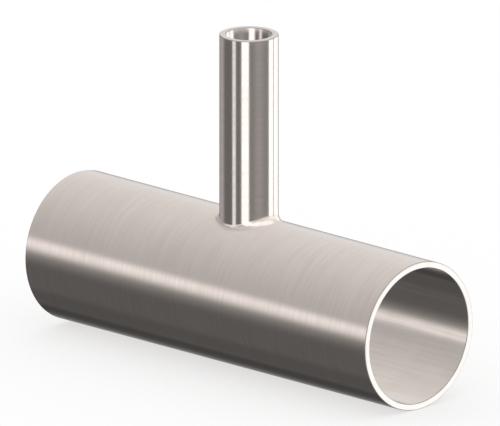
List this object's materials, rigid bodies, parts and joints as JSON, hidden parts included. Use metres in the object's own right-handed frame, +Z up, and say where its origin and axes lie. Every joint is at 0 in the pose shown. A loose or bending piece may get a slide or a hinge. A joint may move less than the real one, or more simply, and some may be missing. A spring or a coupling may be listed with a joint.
{
  "type": "reducing tee",
  "caption": "Weld-end reducing tee for thin-walled stainless tube: a straight run with a smaller branch pulled out of its wall at mid-length, square to it.",
  "frame": {"origin": "where the run's centre line and the branch's centre line cross, inside the run", "axes": "X along the run, +Z up the branch towards its open end, Y across; the tee is the same on both sides of X and Y"},
  "size_m": [0.1206, 0.0381, 0.0857],
  "materials": {
    "stainless": "mechanically polished stainless steel, bright with fine polishing lines round each tube"
  },
  "bodies": {
    "root": {"tee_body": "stainless"}
  },
  "joints": []
}
